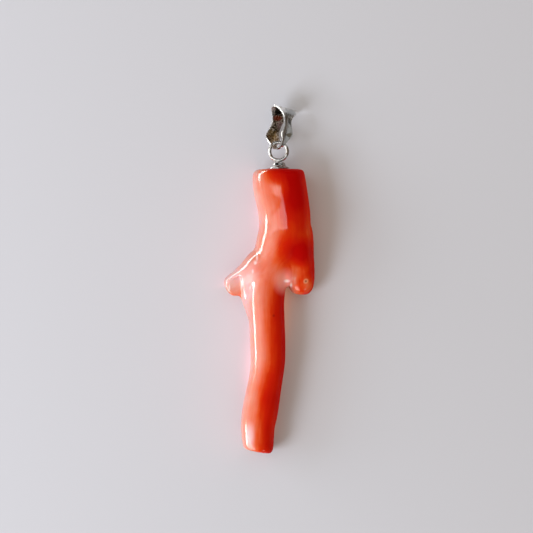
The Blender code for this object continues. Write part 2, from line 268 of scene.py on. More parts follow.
# Soft zones of colour, partly the coral's own uneven tone and partly painted light and shade: deeper red on
# the shaded right of the trunk and stub, paler on the lit twig. Middle and half sizes in the imported frame's
# millimetres, and how much deeper the red is.
COLOUR_ZONES = [
    ((4.6, 15.4, 6.0), (3.0, 6.0, 7.0), 0.70),
    ((2.4, 19.5, 6.0), (5.0, 3.6, 7.0), 0.70),
    ((2.9, 12.6, 6.0), (2.4, 5.0, 6.0), 0.50),
    ((2.9, 6.6, 6.0), (3.0, 4.2, 5.0), 0.42),
    ((4.7, 4.6, 5.5), (2.4, 3.0, 5.0), 0.35),
    ((5.9, 4.8, 5.5), (2.8, 3.6, 5.0), 0.75),
    ((6.9, 9.0, 4.0), (1.5, 9.0, 5.0), -0.55),
    ((6.3, 17.0, 4.0), (1.4, 5.0, 5.0), -0.55),
    ((-0.1, 17.8, 5.0), (2.4, 4.2, 5.0), 0.35),
    ((5.0, -0.4, 3.0), (2.6, 3.6, 5.0), 0.30),
    ((7.2, -1.0, 3.0), (2.0, 2.6, 5.0), -0.50),
    ((2.0, 0.8, 6.0), (3.4, 3.0, 4.0), -0.40),
    ((-6.0, -0.9, 4.0), (5.0, 4.5, 6.0), -0.90),
    ((-0.6, -21.8, 5.0), (2.4, 9.0, 5.0), 0.38),
    ((0.7, -26.5, 4.0), (1.3, 5.0, 5.0), -0.30),
]
CORAL_COLOURS = [
    (0.05, (0.82, 0.45, 0.43)),
    (0.26, (0.80, 0.27, 0.18)),
    (0.50, (0.76, 0.105, 0.026)),
    (0.59, (0.67, 0.038, 0.003)),
    (0.70, (0.62, 0.014, 0.002)),
    (0.92, (0.50, 0.002, 0.001)),
]
# Pale patches of flesh and painted light: middle, half sizes, how much of it and its colour.
PALE_FLESH_AND_PAINTED_HIGHLIGHTS = [
    # Paler flesh in the crotch by the stub, made brighter still as painted light in that shaded crease.
    ((2.6, -0.4, 5.2), (2.8, 3.0, 3.6), 0.72, (1.0, 0.44, 0.36, 1.0)),
    # A painted reflection: broad pale pink on the lit left of the fork and over the twig.
    ((-3.6, 0.8, 4.0), (3.0, 5.4, 3.6), 0.85, (0.86, 0.46, 0.44, 1.0)),
    # The deeper orange of the twig's cut face.
    ((-5.9, -1.4, 4.0), (1.5, 1.9, 3.6), 0.45, (0.85, 0.33, 0.22, 1.0)),
    # Painted highlights: near-white lines along the cut's two edges, spots above the twig and in the notch by
    # the stub.
    ((-7.30, -1.5, 4.0), (0.26, 1.0, 3.6), 0.80, (0.98, 0.90, 0.86, 1.0)),
    ((-4.95, -0.6, 4.0), (0.26, 1.1, 3.6), 0.80, (0.98, 0.90, 0.86, 1.0)),
    ((-2.60, 3.00, 4.5), (0.48, 0.62, 3.6), 0.85, (0.98, 0.92, 0.88, 1.0)),
    ((-2.30, 4.00, 4.5), (0.34, 1.30, 3.6), 0.80, (0.98, 0.90, 0.86, 1.0)),
    ((-3.05, 1.45, 4.5), (0.30, 0.62, 3.6), 0.55, (0.98, 0.86, 0.82, 1.0)),
    ((3.05, -0.30, 4.5), (0.75, 0.42, 3.6), 0.85, (0.98, 0.84, 0.84, 1.0)),
    ((3.85, -1.15, 4.5), (0.34, 0.80, 3.6), 0.75, (0.98, 0.84, 0.84, 1.0)),
    # A painted reflection: pale pink low on the stem's left flank.
    ((-3.55, -27.9, 4.5), (1.15, 3.1, 4.0), 0.50, (0.92, 0.66, 0.72, 1.0)),
]
# Where the polish is duller: middle, half sizes and how much of the gloss is lost.
DULL_PLACES = [
    ((-1.9, 14.3, 5.0), (3.4, 4.1, 6.0), 0.93),
    ((-3.4, -20.9, 5.0), (2.4, 7.1, 6.0), 0.88),
    ((-3.7, -2.2, 4.0), (0.9, 1.9, 4.0), 0.75),
]
# Small round marks: middle, the radii between which the colour comes in, how much of it and the colour.
# They are the pale rim and the dark middle of a healed pore on the stub, and a dark speck on the stem.
STUB_PORE = (6.53, -0.38, 4.3)
STEM_SPECK = (0.72, -6.50, 6.0)
SMALL_MARKS = [
    (STUB_PORE, 0.60, 0.36, 0.55, (0.80, 0.42, 0.22, 1.0)),
    (STUB_PORE, 0.30, 0.12, 0.80, (0.30, 0.05, 0.02, 1.0)),
    (STEM_SPECK, 0.36, 0.10, 0.60, (0.34, 0.004, 0.002, 1.0)),
]
# The silver's colours where it is more and less worn, how rough it is and how fine its wear, and the same
# for the tarnished inside of the bail.
SILVER_COLOURS = [
    (0.30, (0.62, 0.58, 0.52)),
    (0.52, (0.90, 0.89, 0.87)),
]
SILVER_ROUGHNESS = 0.10
SILVER_WEAR_SCALE = 1.6
TARNISH_COLOURS = [
    (0.38, (0.06, 0.035, 0.02)),
    (0.48, (0.30, 0.20, 0.11)),
    (0.60, (0.92, 0.80, 0.66)),
]
TARNISH_ROUGHNESS = 0.20
TARNISH_WEAR_SCALE = 2.6
ROUGHER_BY = 0.12
DENT_SCALE = 2.6
# Patches of painted shade and painted reflections on the silver, and of plain colour inside the bail: middle,
# half sizes, share and colour. The first list is on the open faces, the second on the inside of the bail.
SILVER_PAINTED_SHADE = [
    # Painted shade on the cap's right side.
    ((3.1, 20.8, 4.8), (1.2, 1.0, 4.0), 0.80, (0.20, 0.14, 0.10)),
    # Painted shade on the right of the bail's front leaf.
    ((3.5, 25.9, 5.5), (0.55, 0.50, 4.0), 0.80, (0.22, 0.16, 0.07)),
    # Painted shade: darker grey over the right of the fold.
    ((4.1, 30.3, 5.5), (1.9, 1.15, 4.0), 0.95, (0.44, 0.45, 0.44)),
    # A painted reflection of the coral's red at the cap's foot.
    ((2.3, 20.15, 4.8), (1.3, 0.40, 4.0), 0.70, (0.25, 0.09, 0.05)),
    # Painted shade on the ring's outer right and inner left.
    ((3.50, 23.2, 4.0), (0.62, 2.1, 4.0), 0.90, (0.24, 0.17, 0.12)),
    ((0.42, 23.2, 4.0), (0.40, 1.6, 4.0), 0.90, (0.24, 0.17, 0.12)),
]
BAIL_PAINTED_SHADE_AND_PATCHES = [
    # Painted shade: the dark hollow inside the loop.
    ((1.60, 30.4, 3.0), (0.95, 1.05, 4.0), 0.97, (0.012, 0.009, 0.006)),
    # A paler grey band left of the hollow.
    ((0.45, 30.4, 3.0), (0.60, 1.20, 4.0), 0.80, (0.55, 0.53, 0.50)),
    # Painted reflections: the coral's red, then pale pink.
    ((1.40, 29.2, 3.0), (1.15, 0.62, 4.0), 0.90, (0.50, 0.08, 0.03)),
    ((1.95, 28.0, 3.0), (0.95, 1.2, 4.0), 0.80, (0.90, 0.58, 0.56)),
    # A yellow-brown patch lower on the inside.
    ((0.40, 25.9, 3.0), (1.8, 1.7, 4.0), 0.50, (0.55, 0.34, 0.10)),
]

# The camera looks straight down. VIEW_WIDTH is what the picture spans at CAMERA_AIM_Z.
CAMERA_X = -0.589
CAMERA_Y = 2.305
CAMERA_AIM_Z = 4.5
CAMERA_DISTANCE = 300.0
VIEW_WIDTH = 95.94
SENSOR_WIDTH = 36.0
CAMERA_NEAR = 0.01
SURFACE_SIZE = 3.0
SURFACE_COLOUR = (0.553, 0.560, 0.583, 1.0)
# Lamps are placed and sized in metres. The window lights all that is dull, and the low one the pale surface
# only.
WINDOW_COLOUR = (0.93, 0.98, 1.10)
WINDOW_PLACE = (-0.43, -0.25, 0.355)
WINDOW_SIZE = (0.30, 0.27)
WINDOW_POWER = 2.85
LOW_WINDOW_PLACE = (-0.45, 0.10, 0.125)
LOW_WINDOW_SIZE = (0.45, 0.20)
LOW_WINDOW_POWER = 1.7
# Level panels that only glossy coats and silver mirror: span across, span along, height, brightness, and the
# two shares of the width between which the light fades to nothing, if it does.
PANEL_HEIGHT = 0.40
FOOT_PANEL_HEIGHT = 0.38
CORAL_PANELS = {
    "trunk_panel": ((-1.10, 0.04), (0.03, 0.105), PANEL_HEIGHT, 4.2, (0.95, -0.60)),
    "stem_panel": ((-1.10, -0.05), (-0.90, 0.0), PANEL_HEIGHT, 2.2, (0.65, 1.0)),
    "foot_panel": ((-1.30, -0.15), (-0.95, -0.235), FOOT_PANEL_HEIGHT, 4.8, None),
    "notch_panel": ((0.28, 0.60), (-0.85, -0.58), PANEL_HEIGHT, 3.5, None),
}
SILVER_PANELS = {
    "silver_panel": ((-1.10, 0.0), (-0.90, 0.20), PANEL_HEIGHT, 1.3, None),
    "silver_ceiling": ((0.0, 1.20), (-0.80, 0.80), PANEL_HEIGHT, 0.26, None),
}
# The strips low on the left, which are all in one place.
SILL_SPAN = (-0.90, 1.10)
SILL_DISTANCE = 0.60
SILL_LEVEL = 0.09
SILL_HEIGHT = 0.14
CORAL_SILL_BRIGHTNESS = 22.0
SILVER_SILL_BRIGHTNESS = 3.0
# The glow on the surface beside the branch: how high up the flank it comes from, how far out it stands as a
# share of the radius, its colours, and its spans between stations of the main stem and of the twig.
GLOW_HEIGHT = 4.0
GLOW_INSET = 0.7
LEFT_GLOW = (2.70, 0.80, 0.95)
TWIG_GLOW = (1.60, 0.50, 0.58)
RIGHT_GLOW = (1.25, 0.40, 0.12)
GLOWING_SPANS = [(2, 7), (7, 10), (10, 14), (14, 20)]
GLOWING_TWIG_SPAN = (2, 5)
# The room: its light on dull surfaces, what mirrors see near the horizon and overhead, between which heights
# that changes, and its colour.
ROOM_FILL = 0.56
ROOM_HORIZON = 0.13
ROOM_OVERHEAD = 0.0
ROOM_BAND = (0.06, 0.20)
ROOM_COLOUR = (1.10, 0.98, 0.86, 1.0)


def centre_of(node):
    low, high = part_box(node)
    return (Vector(low) + Vector(high)) / 2


# What carries the drawing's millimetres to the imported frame.
SHIFT = centre_of("ring") - Vector(RING_CENTRE) * MM


def packed(point):
    """A point of the drawing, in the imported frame's metres."""
    return Vector(point) * MM + SHIFT


def placed(name, data):
    """A new object in the scene."""
    made = bpy.data.objects.new(name, data)
    bpy.context.scene.collection.objects.link(made)
    return made


def baked(obj):
    """Turns an object, with its modifiers, into a plain welded mesh, and removes the object."""
    bpy.context.view_layer.update()
    graph = bpy.context.evaluated_depsgraph_get()
    mesh = bpy.data.meshes.new_from_object(obj.evaluated_get(graph))
    mesh.transform(obj.matrix_world)
    bpy.data.objects.remove(obj)
    welded = bmesh.new()
    welded.from_mesh(mesh)
    bmesh.ops.remove_doubles(welded, verts=welded.verts, dist=WELD_DISTANCE)
    bmesh.ops.recalc_face_normals(welded, faces=welded.faces)
    welded.to_mesh(mesh)
    welded.free()
    return mesh


def shoot(name, points):
    """A round shoot of changing thickness through the points, as a closed mesh."""
    curve = bpy.data.curves.new(name, "CURVE")
    curve.dimensions = "3D"
    curve.resolution_u = SHOOT_STEPS
    curve.bevel_depth = MM
    curve.bevel_resolution = SHOOT_ROUND_STEPS
    curve.use_fill_caps = True
    spline = curve.splines.new("BEZIER")
    spline.bezier_points.add(len(points) - 1)
    spline.radius_interpolation = "CARDINAL"
    for knot, (x, y, z, radius) in zip(spline.bezier_points, points):
        knot.co = Vector((x, y, z)) * MM
        knot.radius = radius
        knot.handle_left_type = knot.handle_right_type = "AUTO"
    tube = placed(name, curve)
    tube.scale.z = BRANCH_FLATNESS
    return placed(name, baked(tube))


def boolean(obj, operation, other):
    """Joins the other object to this one, or cuts it away."""
    change = obj.modifiers.new(other.name, "BOOLEAN")
    change.operation = operation
    change.object = other


def block_beyond(name, point, facing, side):
    """A block on the far side of a cut plane."""
    facing = Vector(facing).normalized()
    bpy.ops.mesh.primitive_cube_add(size=side * MM)
    block = bpy.context.object
    block.name = name
    block.rotation_euler = facing.to_track_quat("X", "Z").to_euler()
    block.location = (Vector(point) + facing * side / 2) * MM
    return block


def scoop_tool():
    """A prism over the scoop's outline, from its sloping floor to well above the twig."""
    slope_x, slope_y = SCOOP_SLOPES
    place_x, place_y, place_z = SCOOP_PLACE
    count = len(SCOOP_OUTLINE)
    low = [(x, y, place_z + (x - place_x) * slope_x + (y - place_y) * slope_y) for x, y in SCOOP_OUTLINE]
    high = [(x, y, SCOOP_TOP) for x, y in SCOOP_OUTLINE]
    sides = [(i, (i + 1) % count, (i + 1) % count + count, i + count) for i in range(count)]
    mesh = bpy.data.meshes.new("scoop_tool")
    mesh.from_pydata([Vector(c) * MM for c in low + high], [], [
        tuple(range(count)), tuple(range(2 * count - 1, count - 1, -1)), *sides
    ])
    tool = placed("scoop_tool", mesh)
    return placed("scoop_block", baked(tool))


def smooth_span(before, start, end, after, steps):
    """Points on a Catmull-Rom curve from start towards end."""
    for step in range(steps):
        t = step / steps
        yield (
            2 * start
            + (end - before) * t
            + (2 * before - 5 * start + 4 * end - after) * t ** 2
            + (3 * start - before - 3 * end + after) * t ** 3
        ) * 0.5


def centre_line(points):
    """Evenly eased points along a shoot, pressed flat as the shoot is, with the radius as a fourth number."""
    stations = np.array([points[0], *points, points[-1]])
    line = []
    for i in range(len(points) - 1):
        line += smooth_span(*stations[i:i + 4], POINTS_PER_STATION)
    line.append(stations[-1])
    line = np.array(line)
    line[:, 2] *= BRANCH_FLATNESS
    return line


def places_on(line, skin):
    """How near the shoot each point of the skin is, its place across, above and along it, and its flank."""
    nearest = np.empty(len(skin), int)
    for start in range(0, len(skin), SKIN_BATCH):
        batch = skin[start:start + SKIN_BATCH, None, :] - line[None, :, :3]
        nearest[start:start + SKIN_BATCH] = (batch ** 2).sum(2).argmin(1)
    ahead = np.gradient(line[:, :3], axis=0)
    ahead /= np.linalg.norm(ahead, axis=1)[:, None]
    side = np.cross((0.0, 0.0, 1.0), ahead)
    side /= np.linalg.norm(side, axis=1)[:, None]
    above = np.cross(ahead, side)
    steps = np.linalg.norm(np.diff(line[:, :3], axis=0), axis=1)
    along = np.concatenate([[0.0], steps.cumsum()])
    offset = skin - line[nearest, :3]
    radius = line[nearest, 3]
    reach = np.linalg.norm(offset, axis=1) / radius
    place = np.stack([
        (offset * side[nearest]).sum(1),
        (offset * above[nearest]).sum(1),
        along[nearest] + (offset * ahead[nearest]).sum(1),
    ], axis=1)
    return reach, place, offset[:, 0] / radius


def mark_grain(mesh):
    """Gives each point of the skin its place in its shoot's grain, and how far left or right on it it is."""
    skin = np.empty(len(mesh.vertices) * 3)
    mesh.vertices.foreach_get("co", skin)
    skin = skin.reshape(-1, 3) / MM
    found = [places_on(centre_line(points), skin) for points in (MAIN_STEM, RIGHT_STUB, LEFT_TWIG)]
    weight = np.stack([np.exp(-FORK_SHARPNESS * reach) for reach, place, flank in found])
    weight /= weight.sum(0)
    grain = sum(w[:, None] * place for w, (reach, place, flank) in zip(weight, found))
    flank = sum(w * flank for w, (reach, place, flank) in zip(weight, found))
    mesh.attributes.new("grain", "FLOAT_VECTOR", "POINT").data.foreach_set("vector", grain.ravel())
    mesh.attributes.new("flank", "FLOAT", "POINT").data.foreach_set("value", flank)


def taper(mesh):
    """Presses the trunk thinner towards its cut top."""
    for vertex in mesh.vertices:
        beyond = (vertex.co.y / MM - TAPER_START) / (TOP_CUT_Y - TAPER_START)
        vertex.co.z *= 1 - TAPER_SHARE * max(0.0, beyond)


def swell(mesh):
    """Raises and sinks the skin a little, in long shallow swells."""
    stretch = Vector((1 / SWELL_ACROSS, 1 / SWELL_ALONG, 1 / SWELL_ACROSS)) / MM
    moved = [
        vertex.co + vertex.normal * noise.noise(vertex.co * stretch) * SWELL_HEIGHT * MM
        for vertex in mesh.vertices
    ]
    for vertex, place in zip(mesh.vertices, moved):
        vertex.co = place


def relaxed(obj, area):
    """The object closed up in fine cells and smoothed, by about as much at any cell size."""
    cell = CELL
    cells = obj.modifiers.new("cells", "REMESH")
    cells.mode = "VOXEL"
    cells.voxel_size = cell * MM
    smooth = obj.modifiers.new("smooth", "SMOOTH")
    smooth.factor = RELAX_FACTOR
    smooth.iterations = round(area / cell ** 2)
    return placed("relaxed_branch", baked(obj))


def coral():
    """The whole branch in one skin."""
    stem = shoot("stem_form", MAIN_STEM)
    forms = {"stub_form": RIGHT_STUB, "twig_form": LEFT_TWIG, "stub_web": STUB_WEB, "twig_web": TWIG_WEB}
    others = [shoot(name, points) for name, points in forms.items()]
    cuts = [
        block_beyond("top_block", (0.0, TOP_CUT_Y, TOP_BLOCK_Z), (0.0, 1.0, 0.0), TOP_BLOCK_SIDE),
        scoop_tool(),
    ]
    for other in others:
        boolean(stem, "UNION", other)
    grown = relaxed(stem, FORKS_RELAXED)
    for cut in cuts:
        boolean(grown, "DIFFERENCE", cut)
    mesh = baked(relaxed(grown, EDGES_RELAXED))
    for helper in others + cuts:
        bpy.data.objects.remove(helper)
    swell(mesh)
    mark_grain(mesh)
    taper(mesh)
    mesh.transform(Matrix.Translation(SHIFT))
    mesh.shade_smooth()
    return placed("coral", mesh)


def cap():
    """The turned end cap, with the start of its peg."""
    mesh = bpy.data.meshes.new("turned_cap")
    corners = [(radius * MM, 0.0, height * MM) for radius, height in CAP_PROFILE]
    mesh.from_pydata(corners, [(i, i + 1) for i in range(len(corners) - 1)], [])
    turned = placed("turned_cap", mesh)
    screw = turned.modifiers.new("turned", "SCREW")
    screw.axis = "Z"
    screw.steps = CAP_STEPS
    screw.render_steps = CAP_STEPS
    screw.use_merge_vertices = True
    screw.merge_threshold = CAP_WELD_DISTANCE
    turned.rotation_euler.x = -math.pi / 2
    turned.location = packed((CAP_X, CAP_FOOT_Y, CAP_Z))
    mesh = baked(turned)
    mesh.shade_smooth()
    mesh.set_sharp_from_angle(angle=math.radians(CAP_SHARP_DEG))
    return placed("turned_cap", mesh)


def ring():
    """The closed wire ring."""
    bpy.ops.mesh.primitive_torus_add(
        major_radius=RING_RADIUS * MM,
        minor_radius=WIRE_RADIUS * MM,
        major_segments=RING_STEPS,
        minor_segments=WIRE_STEPS,
    )
    hoop = bpy.context.object
    hoop.name = "wire_ring"
    hoop.location = packed(RING_CENTRE)
    mesh = baked(hoop)
    mesh.shade_smooth()
    return placed("wire_ring", mesh)


def solder():
    """The bead of solder where the ring stands on the cap's neck."""
    bpy.ops.mesh.primitive_uv_sphere_add(segments=SOLDER_STEPS, ring_count=SOLDER_RINGS, radius=MM)
    bead = bpy.context.object
    bead.name = "solder"
    bead.scale = SOLDER_SIZE
    bead.location = packed(Vector(RING_CENTRE) - Vector((0.0, RING_RADIUS + WIRE_RADIUS, 0.0)))
    mesh = baked(bead)
    mesh.shade_smooth()
    return placed("solder", mesh)


def bail_rows():
    """The strip's middle and width in many short steps, once round its closed loop."""
    back_leaf = [
        (along, -out, half, middle, -vein)
        for along, out, half, middle, vein in reversed(BAIL_BACK_LEAF)
    ]
    points = [np.array(point) for point in BAIL_FRONT_LEAF + back_leaf]
    rows = []
    for i in range(len(points)):
        around = [points[(i + k) % len(points)] for k in (-1, 0, 1, 2)]
        rows += smooth_span(*around, BAIL_STEPS_PER_SPAN)
    return rows


def clamped(share):
    return min(1.0, max(0.0, share))


def bail_sheet():
    """The folded strip as a thin sheet that changes width, marked for its painted brown reflection and where
    worn.
    """
    rows = bail_rows()
    corners, brown_reflection, worn = [], [], []
    for along, out, half, middle, vein in rows:
        for column in range(BAIL_STEPS_ACROSS + 1):
            share = 2 * column / BAIL_STEPS_ACROSS - 1
            across = middle + half * share
            pressed = vein * (1 - abs(share)) ** VEIN_SHARPNESS
            corners.append(Vector((across, along + BAIL_ASKEW * across, out - pressed)) * MM)
            stripe = BROWN_REFLECTION_START + BROWN_REFLECTION_LEAN * along
            on_leaf = clamped((BROWN_REFLECTION_END - along) / BROWN_REFLECTION_FADE) if out > 0 else 0.0
            brown_reflection.append(on_leaf * math.exp(-((share - stripe) / BROWN_REFLECTION_HALF_WIDTH) ** 2))
            worn.append(clamped((abs(share) - WORN_FROM) / (WORN_TO - WORN_FROM)))
    width = BAIL_STEPS_ACROSS + 1
    faces = []
    for row in range(len(rows)):
        here, there = row * width, (row + 1) % len(rows) * width
        for column in range(BAIL_STEPS_ACROSS):
            faces.append((here + column, here + column + 1, there + column + 1, there + column))
    mesh = bpy.data.meshes.new("folded_bail")
    mesh.from_pydata(corners, [], faces)
    mesh.attributes.new("brown_reflection", "FLOAT", "POINT").data.foreach_set("value", brown_reflection)
    mesh.attributes.new("worn", "FLOAT", "POINT").data.foreach_set("value", worn)
    return mesh


def bail(outside, inside):
    """The bail: its sheet thickened, with rounded edges, and laid down through the ring."""
    mesh = bail_sheet()
    mesh.materials.append(outside)
    mesh.materials.append(inside)
    strip = placed("folded_bail", mesh)
    sheet = strip.modifiers.new("sheet", "SOLIDIFY")
    sheet.thickness = BAIL_THICKNESS * MM
    sheet.offset = 0.0
    sheet.material_offset = 1
    edges = strip.modifiers.new("edges", "BEVEL")
    edges.width = BAIL_EDGE_ROUNDING * MM
    edges.segments = BAIL_EDGE_STEPS
    edges.limit_method = "ANGLE"
    edges.angle_limit = math.radians(BAIL_EDGE_DEG)
    turn = Matrix.Rotation(math.radians(BAIL_TURN_DEG), 4, "Y")
    droop = Matrix.Rotation(math.radians(-BAIL_DROOP_DEG), 4, "X")
    lean = Matrix.Rotation(math.radians(-BAIL_LEAN_DEG), 4, "Z")
    mesh.transform(droop @ lean @ turn)
    strip.location = packed(Vector(RING_CENTRE) + Vector((0.0, RING_RADIUS, 0.0)))
    mesh = baked(strip)
    mesh.shade_smooth()
    return placed("folded_bail", mesh)


class Nodes:
    """Short ways to add and join a material's nodes."""

    def __init__(self, name):
        self.material = bpy.data.materials.new(name)
        self.material.use_nodes = True
        self.tree = self.material.node_tree
        self.shader = self.tree.nodes["Principled BSDF"]

    def add(self, kind, **values):
        made = self.tree.nodes.new("ShaderNode" + kind)
        for name, value in values.items():
            setattr(made, name, value)
        return made

    def join(self, source, target):
        """Feeds a socket or a plain value into a socket."""
        if isinstance(source, bpy.types.NodeSocket):
            self.tree.links.new(source, target)
        else:
            target.default_value = source

    def attribute(self, name, output):
        return self.add("Attribute", attribute_name=name).outputs[output]

    def place(self):
        """Where on the pendant each point is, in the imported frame's millimetres."""
        place = self.vector("SCALE", self.add("TexCoord").outputs["Object"])
        place.node.inputs["Scale"].default_value = 1 / MM
        return place

    def math(self, operation, *values, clamp=False):
        made = self.add("Math", operation=operation, use_clamp=clamp)
        for value, socket in zip(values, made.inputs):
            self.join(value, socket)
        return made.outputs[0]

    def vector(self, operation, *values):
        made = self.add("VectorMath", operation=operation)
        for value, socket in zip(values, made.inputs):
            self.join(value, socket)
        return made.outputs["Value" if operation in ("LENGTH", "DISTANCE") else "Vector"]

    def noise(self, place, scale, detail=2.0, roughness=0.5):
        """Noise about zero, from about -0.5 to 0.5."""
        made = self.add("TexNoise")
        self.join(place, made.inputs["Vector"])
        made.inputs["Scale"].default_value = scale
        made.inputs["Detail"].default_value = detail
        made.inputs["Roughness"].default_value = roughness
        return self.math("SUBTRACT", made.outputs["Fac"], 0.5)

    def ease(self, value, low, high, out_low=0.0, out_high=1.0):
        """A smooth passage from one value to another."""
        made = self.add("MapRange", interpolation_type="SMOOTHSTEP")
        names = ("Value", "From Min", "From Max", "To Min", "To Max")
        for source, name in zip((value, low, high, out_low, out_high), names):
            self.join(source, made.inputs[name])
        return made.outputs["Result"]

    def reach(self, place, middle, half_sizes):
        """How far a place is from a zone's middle: 1 at the zone's edge."""
        offset = self.vector("SUBTRACT", place, middle)
        return self.vector("LENGTH", self.vector("DIVIDE", offset, half_sizes))

    def mix(self, share, first, second):
        made = self.add("Mix", data_type="RGBA")
        self.join(share, made.inputs["Factor"])
        self.join(first, made.inputs["A"])
        self.join(second, made.inputs["B"])
        return made.outputs["Result"]

    def ramp(self, value, stops):
        made = self.add("ValToRGB")
        self.join(value, made.inputs["Fac"])
        elements = made.color_ramp.elements
        while len(elements) < len(stops):
            elements.new(0.5)
        for element, (position, colour) in zip(elements, stops):
            element.position = position
            element.color = (*colour, 1.0)
        return made.outputs["Color"]

    def bump(self, height, strength, distance):
        made = self.add("Bump")
        made.inputs["Strength"].default_value = strength
        made.inputs["Distance"].default_value = distance * MM
        self.join(height, made.inputs["Height"])
        return made.outputs["Normal"]

    def set(self, **values):
        """Gives the shader its values, with each socket's name spelt with underscores."""
        for name, value in values.items():
            self.join(value, self.shader.inputs[name.replace("_", " ")])


def coral_colour(nodes, place, grain, flank):
    """Salmon to deep red: deeper to the right as painted shade and in soft zones, with clouds, streaks and
    marks.
    """
    # Painted shade: the red deepens from the lit left flank to the shaded right one.
    depth = nodes.math("MULTIPLY", flank, FLANK_PAINTED_SHADE)
    for middle, half_sizes, strength in COLOUR_ZONES:
        zone = nodes.ease(nodes.reach(place, middle, half_sizes), 1.0, 0.0, 0.0, strength)
        depth = nodes.math("ADD", depth, zone)
    clouds = nodes.noise(place, CLOUD_SCALE)
    depth = nodes.math("ADD", depth, nodes.math("MULTIPLY", clouds, CLOUD_SHARE))
    streaks = nodes.noise(nodes.vector("MULTIPLY", grain, STREAK_STRETCH), STREAK_SCALE, 3.0, 0.6)
    depth = nodes.math("ADD", depth, nodes.math("MULTIPLY", streaks, STREAK_SHARE))
    shade = nodes.math("ADD", nodes.math("MULTIPLY", depth, 0.5), 0.5, clamp=True)
    skin = nodes.ramp(shade, CORAL_COLOURS)
    # Pale flesh, painted reflections and painted highlights laid over the skin.
    for middle, half_sizes, share, colour in PALE_FLESH_AND_PAINTED_HIGHLIGHTS:
        flesh_and_highlight = nodes.ease(nodes.reach(place, middle, half_sizes), 1.0, 0.1, 0.0, share)
        skin = nodes.mix(flesh_and_highlight, skin, colour)
    for middle, outer, inner, share, colour in SMALL_MARKS:
        distance = nodes.vector("DISTANCE", place, middle)
        skin = nodes.mix(nodes.ease(distance, outer, inner, 0.0, share), skin, colour)
    return skin


def coral_gloss(nodes, place, flank):
    """The polished coat's weight: less on the right flank and where the polish is duller."""
    gloss = nodes.ease(flank, *COAT_CHANGE, COAT_WEIGHT, RIGHT_COAT_WEIGHT)
    for middle, half_sizes, loss in DULL_PLACES:
        kept = nodes.ease(nodes.reach(place, middle, half_sizes), 0.7, 1.0, 1.0 - loss, 1.0)
        gloss = nodes.math("MULTIPLY", gloss, kept)
    return gloss


def coral_material():
    """Polished coral, with a waxy depth."""
    nodes = Nodes("red coral")
    place = nodes.place()
    grain = nodes.attribute("grain", "Vector")
    flank = nodes.attribute("flank", "Fac")
    fine = nodes.noise(nodes.vector("MULTIPLY", grain, FINE_STRETCH), FINE_SCALE)
    nodes.set(
        Base_Color=coral_colour(nodes, place, grain, flank),
        Roughness=0.32,
        Specular_IOR_Level=0.0,
        Subsurface_Weight=0.45,
        Subsurface_Radius=(1.0, 0.28, 0.14),
        Subsurface_Scale=1.1 * MM,
        Coat_Weight=coral_gloss(nodes, place, flank),
        Coat_Roughness=0.10,
        Normal=nodes.bump(fine, 0.05, 0.05),
    )
    return nodes.material


def silver_material(name, colours, roughness, wear_scale, painted_patches):
    """Polished silver: fine wear and dents, bright edges, painted shade and reflections, and painted brown on
    the bail's front.
    """
    nodes = Nodes(name)
    place = nodes.place()
    wear = nodes.noise(place, wear_scale, 3.0)
    skin = nodes.ramp(nodes.math("ADD", wear, 0.5), colours)
    for middle, half_sizes, share, colour in painted_patches:
        # Patches of painted shade and painted reflections, with ragged edges.
        ragged = nodes.math("ADD", nodes.reach(place, middle, half_sizes), wear)
        skin = nodes.mix(nodes.ease(ragged, 1.0, 0.6, 0.0, share), skin, (*colour, 1.0))
    skin = nodes.mix(nodes.attribute("worn", "Fac"), skin, WORN_COLOUR)
    # A painted reflection of the shaded surface, in brown down the bail's front leaf.
    reflected_brown = nodes.math("MULTIPLY", nodes.attribute("brown_reflection", "Fac"), BROWN_REFLECTION_SHARE)
    dents = nodes.noise(place, DENT_SCALE)
    nodes.set(
        Base_Color=nodes.mix(reflected_brown, skin, BROWN_REFLECTION_COLOUR),
        Metallic=1.0,
        Roughness=nodes.ease(wear, -0.2, 0.25, roughness, roughness + ROUGHER_BY),
        Normal=nodes.bump(dents, 0.35, 0.06),
    )
    return nodes.material


def floor():
    """The pale surface that the pendant lies on."""
    bpy.ops.mesh.primitive_plane_add(size=SURFACE_SIZE)
    surface = bpy.context.object
    surface.name = "surface"
    nodes = Nodes("pale surface")
    nodes.set(Base_Color=SURFACE_COLOUR, Roughness=0.55)
    surface.data.materials.append(nodes.material)
    return surface


def area_light(name, place, aim, size, power, colour=(1.0, 1.0, 1.0), gloss=True, diffuse=True, only=None):
    """A rectangular lamp, which glossy or dull surfaces may ignore, or which falls on some pieces only."""
    data = bpy.data.lights.new(name, "AREA")
    data.shape = "RECTANGLE"
    data.size, data.size_y = size
    data.energy = power
    data.color = colour
    lamp = placed(name, data)
    lamp.visible_glossy = gloss
    lamp.visible_diffuse = diffuse
    lamp.location = place
    lamp.rotation_euler = (Vector(aim) - Vector(place)).to_track_quat("-Z", "Y").to_euler()
    if only:
        lamp.light_linking.receiver_collection = only
    return lamp


